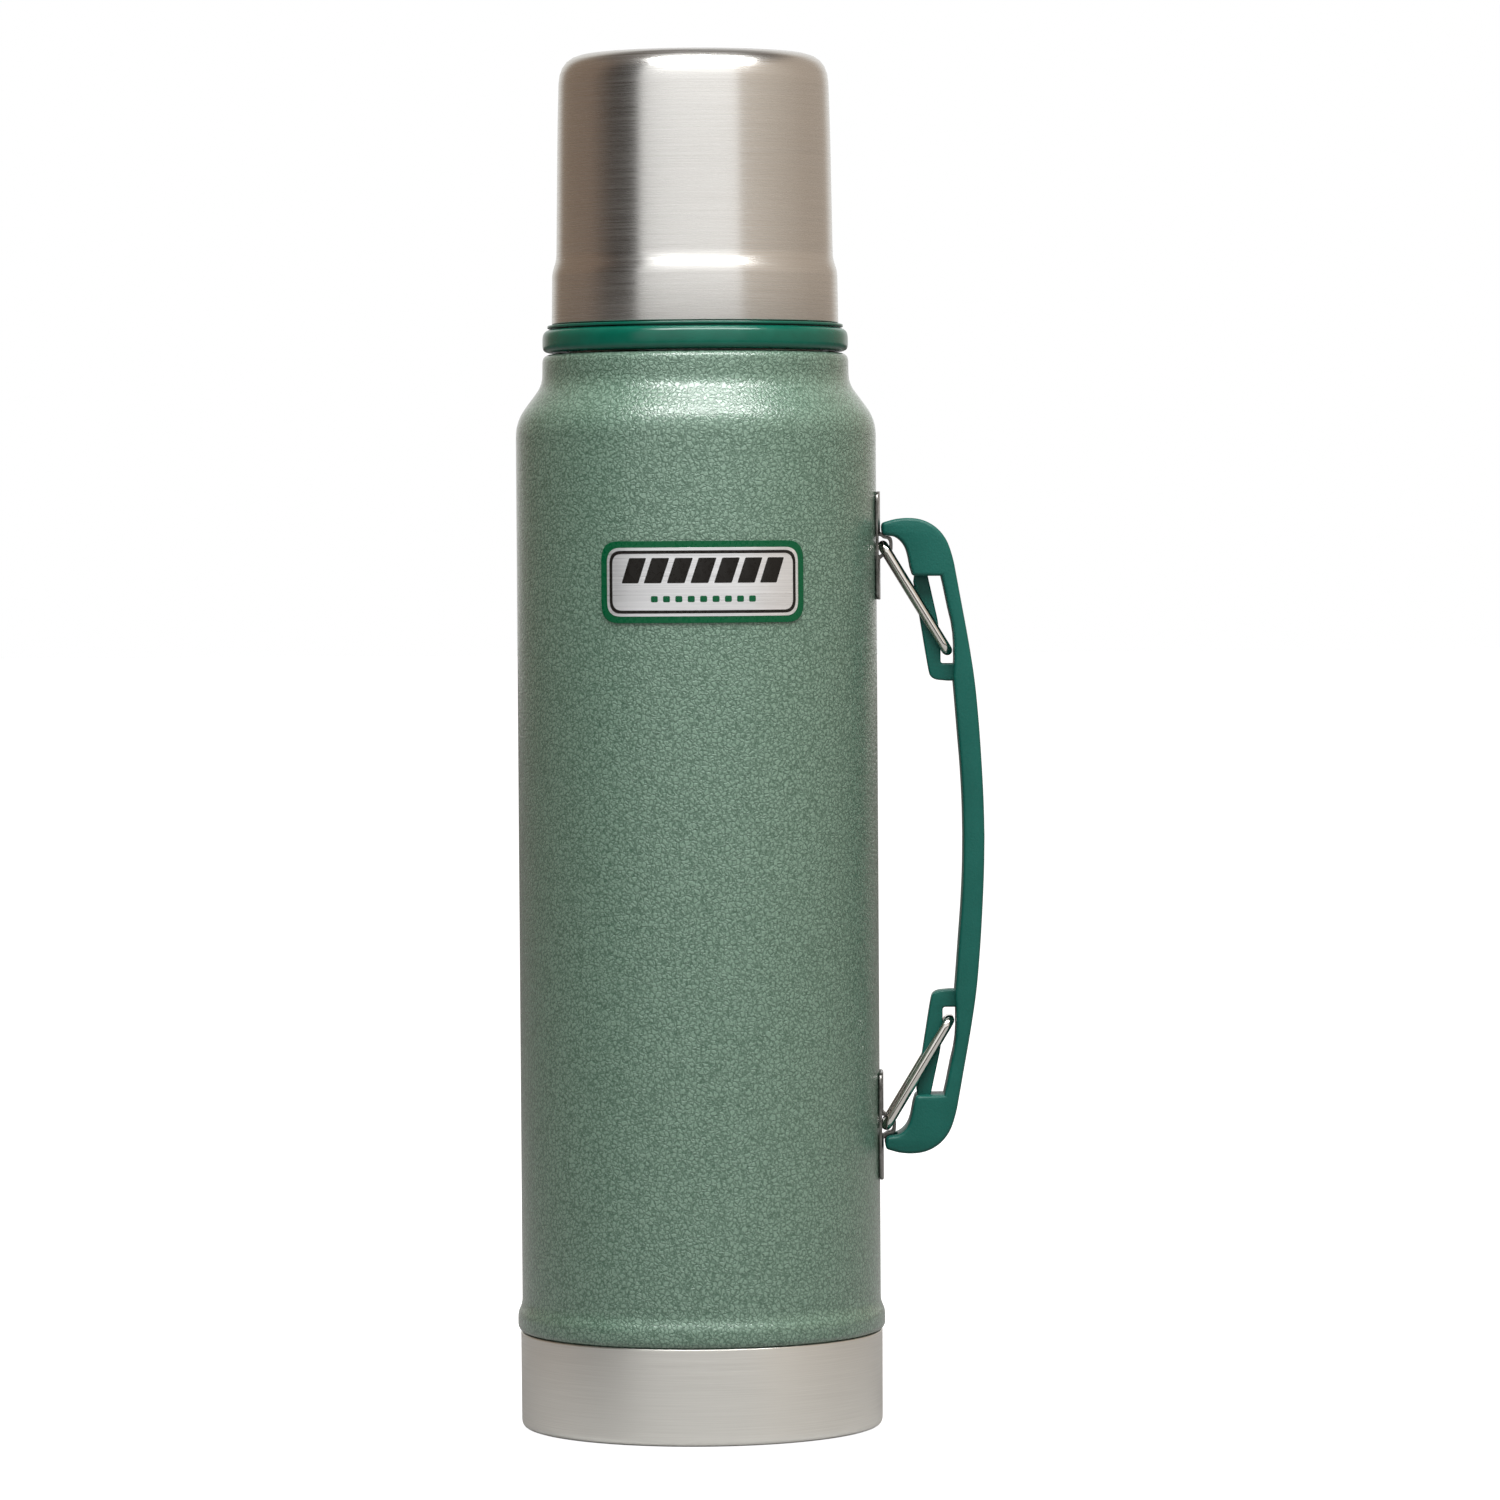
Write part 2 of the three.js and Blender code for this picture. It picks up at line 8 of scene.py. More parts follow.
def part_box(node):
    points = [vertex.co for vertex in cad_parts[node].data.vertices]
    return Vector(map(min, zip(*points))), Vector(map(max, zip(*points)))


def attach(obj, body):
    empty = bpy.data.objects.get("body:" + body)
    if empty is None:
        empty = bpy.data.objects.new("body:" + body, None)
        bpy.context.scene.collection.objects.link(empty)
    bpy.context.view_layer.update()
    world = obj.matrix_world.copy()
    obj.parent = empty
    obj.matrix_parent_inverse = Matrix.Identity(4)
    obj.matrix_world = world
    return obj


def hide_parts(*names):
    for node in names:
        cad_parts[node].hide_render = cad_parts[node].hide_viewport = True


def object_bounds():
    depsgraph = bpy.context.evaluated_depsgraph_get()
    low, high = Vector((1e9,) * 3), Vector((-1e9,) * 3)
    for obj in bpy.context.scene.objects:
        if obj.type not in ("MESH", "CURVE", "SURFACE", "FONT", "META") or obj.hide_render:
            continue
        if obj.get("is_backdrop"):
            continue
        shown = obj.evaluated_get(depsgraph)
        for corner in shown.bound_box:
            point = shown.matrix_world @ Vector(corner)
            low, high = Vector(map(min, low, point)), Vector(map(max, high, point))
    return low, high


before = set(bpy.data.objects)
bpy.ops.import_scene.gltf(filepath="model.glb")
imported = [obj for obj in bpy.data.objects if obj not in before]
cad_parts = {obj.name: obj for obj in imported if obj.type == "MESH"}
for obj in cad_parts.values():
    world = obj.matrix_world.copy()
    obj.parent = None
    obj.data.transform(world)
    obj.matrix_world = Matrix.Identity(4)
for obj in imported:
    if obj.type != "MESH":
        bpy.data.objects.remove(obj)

cad_low, cad_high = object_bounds()

# ---- the inner bottle: liner and liner bottom ----
# The drink is held by a thin steel bottle, deep-drawn and necked in at the top, with a
# dished bottom welded into its lower end. It is electropolished bright inside.

MM = 0.001


def rounded(outline, closed, steps=6):
    """Replaces each corner that has a third number by a curve that starts that far from it."""
    points = []
    for i, (x, y, *reach) in enumerate(outline):
        at_end = not closed and i in (0, len(outline) - 1)
        if not reach or at_end:
            points.append((x, y))
            continue
        corner = Vector((x, y))
        sides = []
        for other in (outline[i - 1], outline[(i + 1) % len(outline)]):
            side = Vector(other[:2]) - corner
            sides.append(corner + side * min(0.49, reach[0] / side.length))
        for k in range(steps + 1):
            t = k / steps
            curve = sides[0] * (1 - t) ** 2 + corner * 2 * t * (1 - t) + sides[1] * t ** 2
            points.append((curve.x, curve.y))
    return points


def piece_from(name, shape, finish, sharp=32):
    """Finishes a bmesh as a smooth-shaded piece whose hard edges stay crisp."""
    bmesh.ops.remove_doubles(shape, verts=shape.verts, dist=1e-6)
    bmesh.ops.recalc_face_normals(shape, faces=shape.faces)
    mesh = bpy.data.meshes.new(name)
    shape.to_mesh(mesh)
    shape.free()
    mesh.shade_smooth()
    mesh.set_sharp_from_angle(angle=math.radians(sharp))
    mesh.materials.append(finish)
    piece = bpy.data.objects.new(name, mesh)
    bpy.context.scene.collection.objects.link(piece)
    return piece


def spun(outline, foot=0.0, sides=160):
    """Spins an outline of (radius, height) in millimetres, above foot in metres, round the axis."""
    shape = bmesh.new()
    closed = outline[0][0] > 0
    loop = [shape.verts.new((r * MM, 0, foot + z * MM)) for r, z in rounded(outline, closed)]
    pairs = list(zip(loop, loop[1:]))
    if closed:
        pairs.append((loop[-1], loop[0]))
    edges = [shape.edges.new(pair) for pair in pairs]
    bmesh.ops.spin(
        shape,
        geom=loop + edges,
        cent=(0, 0, 0),
        axis=(0, 0, 1),
        angle=2 * math.pi,
        steps=sides,
        use_merge=True,
        use_duplicate=False,
    )
    return shape


def fit(piece, body, node):
    """Lets a piece ride on its body and stand for its CAD node, which it hides."""
    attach(piece, body)
    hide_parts(node)


def material(name, colour, roughness, metallic=0.0, **sockets):
    """A material of one colour, with the numbers that are the same all over it."""
    made = bpy.data.materials.new(name)
    made.use_nodes = True
    shader = made.node_tree.nodes["Principled BSDF"]
    shader.inputs["Base Color"].default_value = (*colour, 1)
    shader.inputs["Roughness"].default_value = roughness
    shader.inputs["Metallic"].default_value = metallic
    for key, value in sockets.items():
        shader.inputs[key.replace("_", " ")].default_value = value
    return made


def add(made, kind, settings=None, **inputs):
    """Adds a shader node. Its inputs are numbers, or sockets of other nodes to link to."""
    tree = made.node_tree
    node = tree.nodes.new("ShaderNode" + kind)
    for key, value in (settings or {}).items():
        setattr(node, key, value)
    for key, value in inputs.items():
        socket = node.inputs[key.replace("_", " ")]
        if isinstance(value, bpy.types.NodeSocket):
            tree.links.new(value, socket)
        else:
            socket.default_value = value
    return node


def stretched(made, scale=(1, 1, 1)):
    """Object coordinates multiplied by scale, for a pattern that is drawn out along an axis."""
    place = add(made, "TexCoord").outputs["Object"]
    return add(made, "Mapping", Vector=place, Scale=scale).outputs["Vector"]


def noise(made, scale, detail, stretch=(1, 1, 1)):
    """A cloudy pattern from 0 to 1, finer with a larger scale or stretch."""
    place = stretched(made, stretch)
    return add(made, "TexNoise", Vector=place, Scale=scale, Detail=detail).outputs["Fac"]


def spread(made, value, low, high, bottom=0.25, top=0.75):
    """Maps a value from bottom..top, a noise's usual range, to low..high."""
    limits = {"From_Min": bottom, "From_Max": top, "To_Min": low, "To_Max": high}
    return add(made, "MapRange", Value=value, **limits).outputs["Result"]


def tint(made, factor, dark, light):
    """A colour between dark and light."""
    mix = add(made, "Mix", {"data_type": "RGBA"})
    made.node_tree.links.new(factor, mix.inputs[0])
    mix.inputs[6].default_value = (*dark, 1)
    mix.inputs[7].default_value = (*light, 1)
    return mix.outputs[2]


def join(made, value, socket):
    """Links a value to a socket of the material's shader."""
    shader = made.node_tree.nodes["Principled BSDF"]
    made.node_tree.links.new(value, shader.inputs[socket])


def raise_by(made, height, distance, strength=1.0):
    """Gives the surface a fine relief of so many metres."""
    bump = add(made, "Bump", Height=height, Distance=distance, Strength=strength)
    join(made, bump.outputs["Normal"], "Normal")


def polished_steel():
    made = material("polished steel", (0.6, 0.6, 0.58), 0.3, metallic=1.0)
    streaks = noise(made, 1.0, 3.0, stretch=(40, 40, 1800))
    stains = noise(made, 70.0, 3.0)
    join(made, spread(made, streaks, 0.2, 0.38), "Roughness")
    join(made, tint(made, stains, (0.52, 0.515, 0.5), (0.68, 0.68, 0.66)), "Base Color")
    raise_by(made, streaks, 0.00002, 0.4)
    return made


inner_steel = polished_steel()
liner_low, liner_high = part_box("inner_liner")
liner_r = 37.0
throat_r = 28.5
liner_wall = 0.6
liner_top = (liner_high.z - liner_low.z) / MM
liner = spun(
    [
        (liner_r, 0),
        (liner_r + liner_wall, 0),
        (liner_r + liner_wall, 242.5, 6),
        (throat_r + liner_wall, 257, 4),
        (throat_r + liner_wall, liner_top),
        (throat_r, liner_top),
        (throat_r, 256.8, 4),
        (liner_r, 242.2, 6),
    ],
    foot=liner_low.z,
)
fit(piece_from("inner_liner_tube", liner, inner_steel), "vessel", "inner_liner")

dish_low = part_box("liner_bottom")[0]
dish = spun(
    [
        (0, 0),
        (28, 1, 6),
        (36.7, 5, 2),
        (36.7, 9.6),
        (36.1, 9.6),
        (36.1, 5.3, 2),
        (28, 1.6, 6),
        (0, 0.6),
    ],
    foot=dish_low.z,
)
fit(piece_from("liner_dish", dish, inner_steel), "vessel", "liner_bottom")

# ---- the outer shell ----
# The body is a steel tube, necked in through a cone to a short collar, with a bead rolled
# round it just above the base. It is sprayed with a hammered enamel that dries into small
# glossy pillows, parted by creases. Its colour carries painted shade: darker in the creases
# and low spots, lighter on the pillow tops.

shell_low, shell_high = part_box("outer_shell")
body_r = 47.5
bead_r = shell_high.x / MM
collar_r = 40.45
shell_wall = 0.8
shell_height = (shell_high.z - shell_low.z) / MM
bead_foot = 19.7
shoulder = 259.8
collar = 269.3


def hammered_enamel():
    made = material(
        "hammered enamel",
        (0.13, 0.2, 0.15),
        0.36,
        metallic=0.08,
        Specular_IOR_Level=0.2,
        Coat_Weight=0.85,
        Coat_Roughness=0.09,
    )
    place = stretched(made)
    drift = add(made, "TexNoise", Vector=place, Scale=800.0, Detail=3.0).outputs["Color"]
    offset = add(made, "VectorMath", {"operation": "SCALE"}, Vector=drift, Scale=0.0018)
    moved = add(made, "VectorMath", {"operation": "ADD"})
    made.node_tree.links.new(place, moved.inputs[0])
    made.node_tree.links.new(offset.outputs["Vector"], moved.inputs[1])
    cells = add(
        made,
        "TexVoronoi",
        {"feature": "DISTANCE_TO_EDGE"},
        Vector=moved.outputs["Vector"],
        Scale=820.0,
    ).outputs["Distance"]
    pillows = spread(made, cells, 0.0, 1.0, bottom=0.0, top=0.24)
    orange_peel = noise(made, 1500.0, 2.0)
    relief = add(made, "Math", {"operation": "MULTIPLY_ADD"})
    made.node_tree.links.new(orange_peel, relief.inputs[0])
    relief.inputs[1].default_value = 1.6
    made.node_tree.links.new(pillows, relief.inputs[2])
    # Painted shade: the colour darkens with the relief, most of all in the creases.
    crease_shade = spread(made, relief.outputs[0], 0.0, 1.0, bottom=0.7, top=1.8)
    join(made, tint(made, crease_shade, (0.049, 0.096, 0.066), (0.146, 0.226, 0.173)), "Base Color")
    join(made, spread(made, orange_peel, 0.3, 0.42), "Roughness")
    raise_by(made, relief.outputs[0], 0.00009)
    skin = add(made, "Bump", Height=pillows, Distance=0.00004)
    join(made, skin.outputs["Normal"], "Coat Normal")
    return made


shell = spun(
    [
        (46.0, 0),
        (46.8, 0),
        (46.8, bead_foot),
        (47.9, bead_foot, 0.3),
        (bead_r, bead_foot + 1.0, 0.9),
        (bead_r, bead_foot + 4.6, 1.2),
        (body_r, bead_foot + 7.0, 1.6),
        (body_r, shoulder, 4.2),
        (collar_r, collar, 2.6),
        (collar_r - 0.1, shell_height, 2.3),
        (33.2, shell_height, 0.3),
        (33.2, shell_height - shell_wall),
        (collar_r - 0.9, shell_height - shell_wall, 1),
        (collar_r - 0.9, collar - 0.3, 2.4),
        (body_r - shell_wall, shoulder - 0.3, 4),
        (body_r - shell_wall, bead_foot + 6),
        (46.0, bead_foot + 4),
    ],
    foot=shell_low.z,
    sides=192,
)
fit(piece_from("painted_shell", shell, hammered_enamel()), "vessel", "outer_shell")

# ---- the threaded neck ----
# A steel ring welded over the mouths of both bottles closes the vacuum. A rounded thread
# is rolled round its outside for the cup, and another round its bore for the stopper.

neck_low, neck_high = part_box("threaded_neck")
neck_height = (neck_high.z - neck_low.z) / MM
thread_pitch = 5.0
thread_turns = 1.5
thread_start = 288.6
thread_steps = 120


def add_thread(shape, crest_r, outward, start):
    """Adds a rounded thread ridge to a spun piece: a small ring swept up a helix, its ends closed."""
    section_r = 1.4
    centre = Vector(((crest_r - outward * section_r) * MM, 0, start * MM))
    turned = Matrix.Translation(centre) @ Matrix.Rotation(math.pi / 2, 4, "X")
    ring = bmesh.ops.create_circle(shape, segments=14, radius=section_r * MM, matrix=turned)["verts"]
    edges = list(dict.fromkeys(edge for vert in ring for edge in vert.link_edges))
    made = bmesh.ops.spin(
        shape,
        geom=ring + edges,
        cent=(0, 0, 0),
        axis=(0, 0, 1),
        dvec=(0, 0, thread_pitch * thread_turns * MM / thread_steps),
        angle=2 * math.pi * thread_turns,
        steps=thread_steps,
        use_merge=False,
        use_duplicate=False,
    )
    last = [part for part in made["geom_last"] if isinstance(part, bmesh.types.BMEdge)]
    bmesh.ops.holes_fill(shape, edges=edges + last, sides=0)


neck = spun(
    [
        (29.4, 0, 0.4),
        (33.2, 0),
        (33.2, 0.8, 0.3),
        (31.6, 1.2, 0.4),
        (31.6, neck_height, 0.7),
        (29.4, neck_height, 0.6),
    ],
    foot=neck_low.z,
)
add_thread(neck, 32.7, 1, thread_start)
add_thread(neck, 28.5, -1, thread_start)
fit(piece_from("screw_neck", neck, inner_steel), "vessel", "threaded_neck")

# ---- the bottom of the shell ----
# A dished steel disc closes the shell. The air is pumped out through a hole in its middle,
# which a bead of solder then seals, and a small getter inside keeps the vacuum hard.

bottom_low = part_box("outer_bottom")[0]
closing_disc = spun(
    [
        (1.2, 3.2),
        (30, 2.2, 6),
        (40, 0.2, 3),
        (45.7, 0, 1),
        (45.7, 7),
        (44.9, 7),
        (44.9, 1, 1),
        (40, 1.1, 3),
        (30, 3.1, 6),
        (1.2, 4.1),
    ],
    foot=bottom_low.z,
)
fit(piece_from("closing_disc", closing_disc, inner_steel), "vessel", "outer_bottom")


def dull_alloy():
    made = material("dull alloy", (0.2, 0.2, 0.19), 0.55, metallic=1.0)
    grain = noise(made, 1800.0, 3.0)
    join(made, spread(made, grain, 0.4, 0.7), "Roughness")
    raise_by(made, grain, 0.00005, 0.6)
    return made


alloy = dull_alloy()
for node_name in ("getter", "vacuum_seal"):
    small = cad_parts[node_name]
    small.data.materials.clear()
    small.data.materials.append(alloy)

# ---- the base cup ----
# A shallow cup of bare stainless steel is pressed over the bottom of the shell, up to its
# bead. Its side and foot are brushed round the axis on a lathe.

base_low, base_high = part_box("base_cup")
base_height = (base_high.z - base_low.z) / MM


def brushed_steel(name, pale, dark, roughness):
    """Steel with fine brush lines that run round the axis."""
    made = material(name, pale, roughness, metallic=1.0, Anisotropic=0.4, Anisotropic_Rotation=0.25)
    fine = noise(made, 1.0, 2.0, stretch=(45, 45, 5200))
    broad = noise(made, 1.0, 2.0, stretch=(30, 30, 3400))
    join(made, tint(made, spread(made, fine, 0.0, 1.0, 0.3, 0.7), dark, pale), "Base Color")
    join(made, spread(made, broad, roughness - 0.035, roughness + 0.035, 0.3, 0.7), "Roughness")
    raise_by(made, fine, 0.000004, 0.5)
    return made


base_steel = brushed_steel("brushed base steel", (0.75, 0.74, 0.70), (0.69, 0.68, 0.64), 0.36)
base = spun(
    [
        (0, 0),
        (47.8, 0, 2.0),
        (47.9, base_height, 0.45),
        (47.1, base_height),
        (47.1, 0.8, 1.6),
        (0, 0.8),
    ],
    foot=base_low.z,
    sides=192,
)
fit(piece_from("pressed_base", base, base_steel), "vessel", "base_cup")

# ---- the two brackets ----
# Each bracket is a small plate of sheet steel, curved to the body and welded to it. A strap
# is lanced out of its middle and bulged into an open loop, which holds the bail's bar. The
# bright steel's colour is painted dark, as painted shade and dark reflection.


def flat_shape(name, outline, thickness, edge_round, holes=()):
    """A flat plate in X and Y, centred on Z = 0, with its edges rounded over. Millimetres."""
    curve = bpy.data.curves.new(name, "CURVE")
    curve.dimensions = "2D"
    curve.fill_mode = "BOTH"
    curve.extrude = (thickness / 2 - edge_round) * MM
    curve.bevel_depth = edge_round * MM
    curve.bevel_resolution = 2
    curve.offset = -edge_round * MM
    for loop in (outline, *holes):
        spline = curve.splines.new("POLY")
        spline.points.add(len(loop) - 1)
        for point, (x, y) in zip(spline.points, loop):
            point.co = (x * MM, y * MM, 0, 1)
        spline.use_cyclic_u = True
    holder = bpy.data.objects.new(name, curve)
    bpy.context.scene.collection.objects.link(holder)
    bpy.context.view_layer.update()
    shape = bmesh.new()
    mesh = bpy.data.meshes.new_from_object(holder)
    shape.from_mesh(mesh)
    bpy.data.objects.remove(holder)
    bpy.data.curves.remove(curve)
    bpy.data.meshes.remove(mesh)
    bmesh.ops.remove_doubles(shape, verts=shape.verts, dist=1e-7)
    return shape


def box_outline(width, height, corner):
    """The outline of a plate with round corners."""
    w = width / 2
    h = height / 2
    corners = [(w, -h, corner), (w, h, corner), (-w, h, corner), (-w, -h, corner)]
    return rounded(corners, closed=True, steps=8)


def wrap(shape, radius, turn, height, every=1.5):
    """Bends a flat plate round the body: its X runs round the axis, its Y up, its Z outwards.

    It is cut into strips first, one for every so many millimetres, so that it bends smoothly.
    """
    reach = max(abs(vert.co.x) for vert in shape.verts)
    cuts = int(reach / (every * MM))
    for k in range(-cuts, cuts + 1):
        bmesh.ops.bisect_plane(
            shape,
            geom=shape.verts[:] + shape.edges[:] + shape.faces[:],
            plane_co=(k * every * MM, 0, 0),
            plane_no=(1, 0, 0),
            dist=1e-7,
        )
    for vert in shape.verts:
        angle = turn + vert.co.x / radius
        out = radius + vert.co.z
        vert.co = Vector((out * math.cos(angle), out * math.sin(angle), height + vert.co.y))


def add_shape(shape, other, material_index=0):
    """Moves the faces of another bmesh into this one."""
    mesh = bpy.data.meshes.new("part")
    for face in other.faces:
        face.material_index = material_index
    other.to_mesh(mesh)
    other.free()
    shape.from_mesh(mesh)
    bpy.data.meshes.remove(mesh)


def shade_dark_pressed_steel():
    # Painted shade and dark reflection: the steel's colour is set dark. The patches in it are wear.
    made = material("pressed steel painted dark as shade", (0.2, 0.195, 0.185), 0.32, metallic=1.0)
    wear = noise(made, 420.0, 4.0)
    shade = tint(made, spread(made, wear, 0.0, 1.0), (0.13, 0.127, 0.12), (0.3, 0.295, 0.28))
    join(made, shade, "Base Color")
    join(made, spread(made, wear, 0.22, 0.42), "Roughness")
    raise_by(made, wear, 0.00003, 0.4)
    return made


shade_dark_bracket_steel = shade_dark_pressed_steel()
plate_mid_r = 48.15
plate_thickness = 0.7
strap_width = 6
strap_outside = [
    (48.1, 3.9),
    (48.9, 3.3, 0.6),
    (49.6, 2.6, 0.5),
    (51.75, 2.3, 1.9),
    (51.7, -2.3, 1.9),
    (49.6, -2.6, 0.5),
    (48.9, -3.3, 0.6),
    (48.1, -3.9),
]
strap_inside = [
    (47.9, -2.6),
    (48.7, -2.4, 0.5),
    (49.4, -1.8, 0.4),
    (50.9, -1.6, 1.3),
    (50.9, 1.6, 1.3),
    (49.4, 1.8, 0.4),
    (48.7, 2.4, 0.5),
    (47.9, 2.6),
]
strap_outline = rounded(strap_outside, closed=False) + rounded(strap_inside, closed=False)
for side in ("upper", "lower"):
    low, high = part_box(side + "_bracket")
    height = (low.z + high.z) / 2
    plate = flat_shape(
        side + " plate",
        box_outline(high.y * 2 / MM, (high.z - low.z) / MM, 3),
        plate_thickness,
        edge_round=0.15,
        holes=[box_outline(13.8, 6.2, 1.2)],
    )
    wrap(plate, plate_mid_r * MM, turn=0, height=height, every=1.0)
    strap = flat_shape(side + " strap", strap_outline, strap_width, edge_round=0.12)
    stand = Matrix.Translation((0, 0, height)) @ Matrix.Rotation(math.pi / 2, 4, "X")
    bmesh.ops.transform(strap, matrix=stand, verts=strap.verts)
    add_shape(plate, strap)
    fit(piece_from(side + "_plate", plate, shade_dark_bracket_steel), "vessel", side + "_bracket")

# ---- the badge ----
# A thin foil badge is stuck to the front: a green enamel border round a field of brushed
# metal, with a fine black line inside it. It carries a plain device and no lettering: a
# band of slanted black blocks, over a row of small green dashes.


def enamel(name, colour):
    made = material(name, colour, 0.28, Specular_IOR_Level=0.25)
    speckle = noise(made, 900.0, 2.0)
    join(made, spread(made, speckle, 0.22, 0.36), "Roughness")
    raise_by(made, speckle, 0.00001, 0.4)
    return made


def brushed_foil():
    made = material("brushed foil", (0.7, 0.71, 0.71), 0.3, metallic=0.85)
    lines = noise(made, 1.0, 3.0, stretch=(30, 30, 5200))
    shade = tint(made, spread(made, lines, 0.0, 1.0), (0.76, 0.77, 0.785), (0.92, 0.93, 0.945))
    join(made, shade, "Base Color")
    join(made, spread(made, lines, 0.26, 0.4), "Roughness")
    raise_by(made, lines, 0.00001, 0.3)
    return made


badge_low, badge_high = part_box("badge")
badge_height = (badge_high.z - badge_low.z) / MM
badge_middle = (badge_low.z + badge_high.z) / 2
badge_width = 55.2
badge_turn = math.atan2((badge_low.x + badge_high.x) / 2, -badge_low.y) - math.pi / 2
backing_thickness = 0.12
layer_thickness = 0.05
foil_gap = 0.3
badge_r = body_r + foil_gap + backing_thickness / 2
green_part = 0
foil_part = 1
ink_part = 2
badge = bmesh.new()


def badge_outline(inset, corner):
    """The badge's own outline, drawn in by an inset all round."""
    return box_outline(badge_width - 2 * inset, badge_height - 2 * inset, corner)


def badge_layer(outline, level, part, holes=()):
    """Lays a film of one colour on the badge, so many films above the middle of its backing."""
    film = flat_shape("badge layer", outline, layer_thickness, edge_round=0.01, holes=holes)
    wrap(film, (badge_r + level * layer_thickness) * MM, badge_turn, badge_middle)
    add_shape(badge, film, part)


backing = flat_shape("badge backing", badge_outline(0, 4.9), backing_thickness, edge_round=0.03)
wrap(backing, badge_r * MM, badge_turn, badge_middle)
add_shape(badge, backing, green_part)
badge_layer(badge_outline(1.7, 3.8), 2, foil_part)
badge_layer(badge_outline(2.45, 3.3), 3, ink_part, holes=[badge_outline(3.25, 2.7)])

block_count = 7
block_pitch = 6.1
block_half = 2.3
block_slant = 1.1
block_foot = -0.3
block_top = 6.2
block_corner = 0.3
for k in range(block_count):
    x = (k - (block_count - 1) / 2) * block_pitch
    block = [
        (x - block_half - block_slant, block_foot, block_corner),
        (x + block_half - block_slant, block_foot, block_corner),
        (x + block_half + block_slant, block_top, block_corner),
        (x - block_half + block_slant, block_top, block_corner),
    ]
    badge_layer(rounded(block, closed=True, steps=3), 3, ink_part)

dash_count = 9
dash_pitch = 3.2
dash_half = 0.9
dash_foot = -5.2
dash_top = -3.6
dash_corner = 0.4
for k in range(dash_count):
    x = (k - (dash_count - 1) / 2) * dash_pitch
    dash = [
        (x + dash_half, dash_foot, dash_corner),
        (x + dash_half, dash_top, dash_corner),
        (x - dash_half, dash_top, dash_corner),
        (x - dash_half, dash_foot, dash_corner),
    ]
    badge_layer(rounded(dash, closed=True, steps=3), 3, green_part)
green_enamel = enamel("green enamel", (0.001, 0.066, 0.024))
badge_piece = piece_from("foil_badge", badge, green_enamel, sharp=40)
badge_piece.data.materials.append(brushed_foil())
badge_piece.data.materials.append(enamel("black ink", (0.008, 0.007, 0.006)))
fit(badge_piece, "vessel", "badge")

# ---- the carry handle ----
# The handle is one plastic moulding: a bowed strap with a hooked block at each end. Behind
# each block a narrow arm closes a slot, and the bail's outer bar slides in that slot.

handle_low, handle_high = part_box("handle")
handle_middle = (handle_low.z + handle_high.z) / 2
handle_width = 2 * handle_high.y / MM
arm_width = 7.0
pocket_x = 48.6
pocket_rise = 76.4
pocket_size = (7.2, 7.0, 7.5)


def flowing(points, steps=5):
    """A smooth run through a few points, each step of it a cubic curve."""
    ends = [points[0], *points, points[-1]]
    run = []
    for a, b, c, d in zip(ends, ends[1:], ends[2:], ends[3:]):
        a, b, c, d = map(Vector, (a, b, c, d))
        for k in range(steps):
            t = k / steps
            spot = b * 2 + (c - a) * t + (a * 2 - b * 5 + c * 4 - d) * t ** 2
            spot = (spot + (b * 3 - a - c * 3 + d) * t ** 3) / 2
            run.append((spot.x, spot.y))
    run.append(tuple(points[-1]))
    return run


def carved(piece, tool, operation):
    """Cuts a tool out of a piece, or joins it on, and removes the tool."""
    change = piece.modifiers.new("carve", "BOOLEAN")
    change.operation = operation
    change.solver = "EXACT"
    change.object = tool
    bpy.context.view_layer.update()
    worked = piece.evaluated_get(bpy.context.evaluated_depsgraph_get())
    mesh = bpy.data.meshes.new_from_object(worked)
    piece.modifiers.clear()
    piece.data = mesh
    bpy.data.objects.remove(tool)


def satin_plastic(name, colour, pale):
    made = material(name, colour, 0.4, Specular_IOR_Level=0.25)
    grain = noise(made, 1700.0, 3.0)
    cloud = noise(made, 90.0, 3.0)
    join(made, tint(made, spread(made, cloud, 0.0, 1.0), colour, pale), "Base Color")
    join(made, spread(made, grain, 0.36, 0.5), "Roughness")
    raise_by(made, grain, 0.00008, 0.8)
    return made


handle_green = satin_plastic("satin green plastic", (0.002, 0.066, 0.051), (0.004, 0.08, 0.063))

# The upper half of its side view: X, and height above the handle's middle, in millimetres.
outer_bow = [(75.4, 0), (75.2, 9.5), (74.7, 20), (74, 30.6), (73, 41.2), (71.4, 51.7), (69.5, 62.3)]
outer_end = [(68.4, 68.4), (67.5, 73), (66.1, 77.3), (64.2, 80.2), (61.8, 82.2), (59, 83.4), (56, 83.8)]
outer_edge = flowing([*outer_bow, *outer_end, (52.8, 83.6), (50.4, 83.0)])
nose = rounded([(50.4, 83.0), (48.75, 82.5, 1.2), (48.95, 79.4, 1.2), (50.6, 79.1)], closed=False)
hook = flowing([(50.6, 79.1), (52.2, 78.9), (53.6, 78.0), (54.8, 76.5), (55.6, 74.4), (56.3, 70.8)])
slot_side = [(65.1, 65.6), (66.2, 60.2), (67.1, 56.4), (67.55, 53.4), (67.72, 50.6), (67.7, 46)]
grip_inside = flowing([(67.4, 42), (67.9, 36), (68.6, 27), (69.3, 18), (69.75, 9), (69.9, 0)])
hook_foot = rounded([(56.3, 70.8), (57.0, 68.5, 0.7), (64.45, 68.5)], closed=False)
half_outline = [*outer_edge, *nose[1:], *hook[1:], *hook_foot[1:], *slot_side, *grip_inside]
mirrored = [(x, -y) for x, y in reversed(half_outline[1:-1])]
upright = Matrix.Translation((0, 0, handle_middle)) @ Matrix.Rotation(math.pi / 2, 4, "X")
